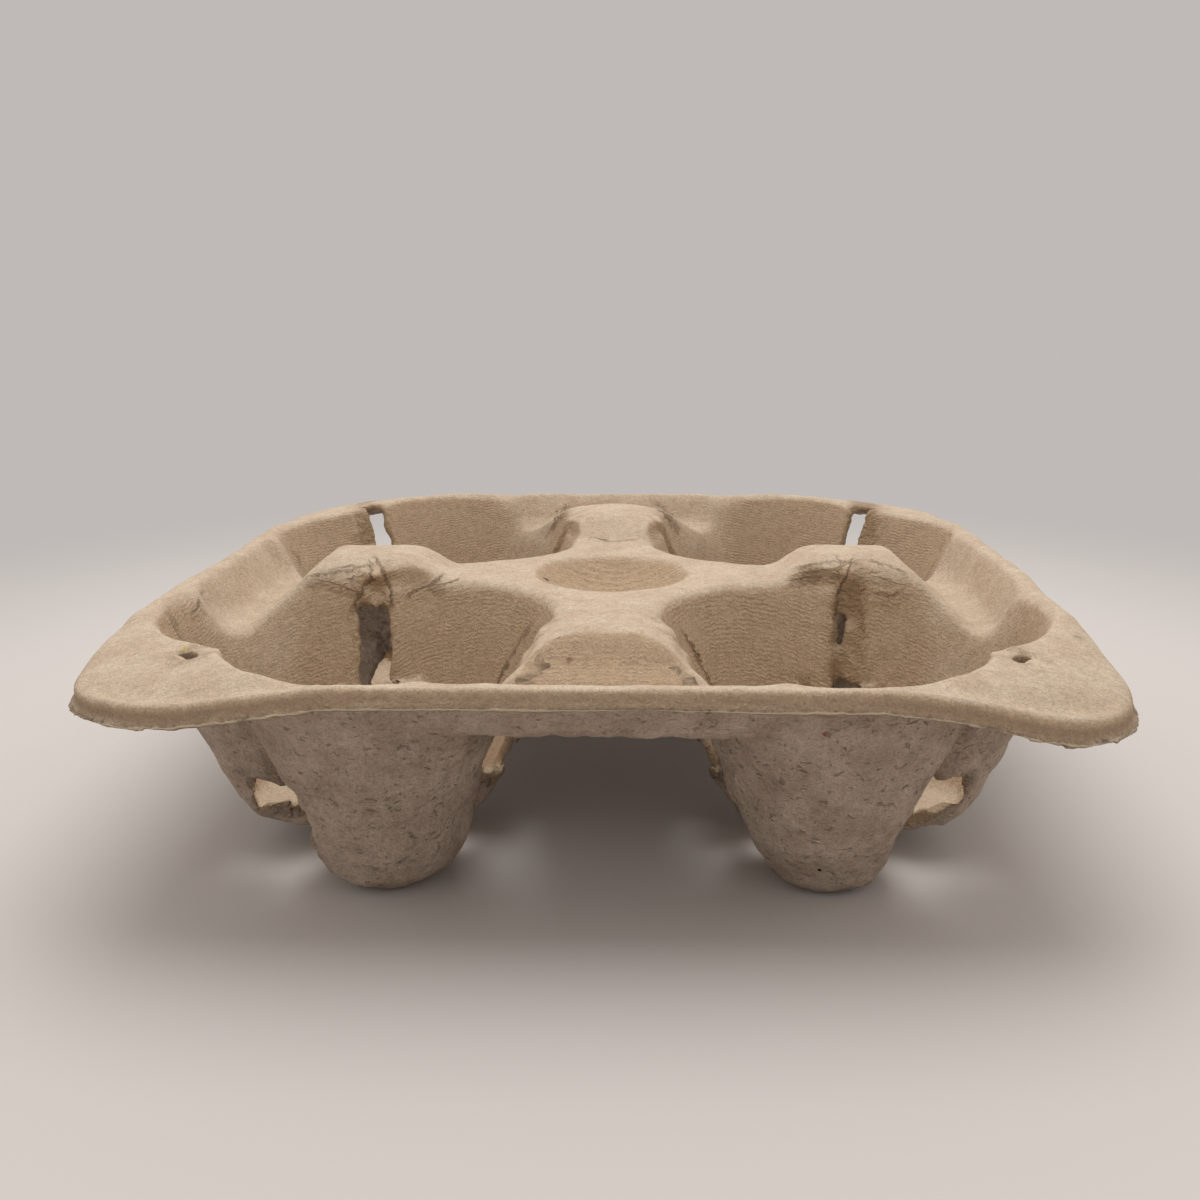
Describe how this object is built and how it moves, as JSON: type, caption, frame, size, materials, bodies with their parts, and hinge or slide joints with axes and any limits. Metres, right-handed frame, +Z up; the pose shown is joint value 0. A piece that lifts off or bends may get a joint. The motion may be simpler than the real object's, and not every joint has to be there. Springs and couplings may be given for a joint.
{
  "type": "moulded pulp cup carrier",
  "caption": "Square moulded pulp tray with a slotted tapering pocket at each corner, a dimpled hub, raised ridges between the pockets and rounded feet, for carrying drinks cups.",
  "frame": {"origin": "middle of the tray, on the surface it stands on", "axes": "+Z up, +X and +Y along the sides of the square tray"},
  "size_m": [0.217, 0.217, 0.0588],
  "materials": {
    "moulded_pulp": "matt, screen-marked on the upper side and rough on the underside"
  },
  "bodies": {
    "root": {"carrier_tray": "moulded_pulp"}
  },
  "joints": []
}
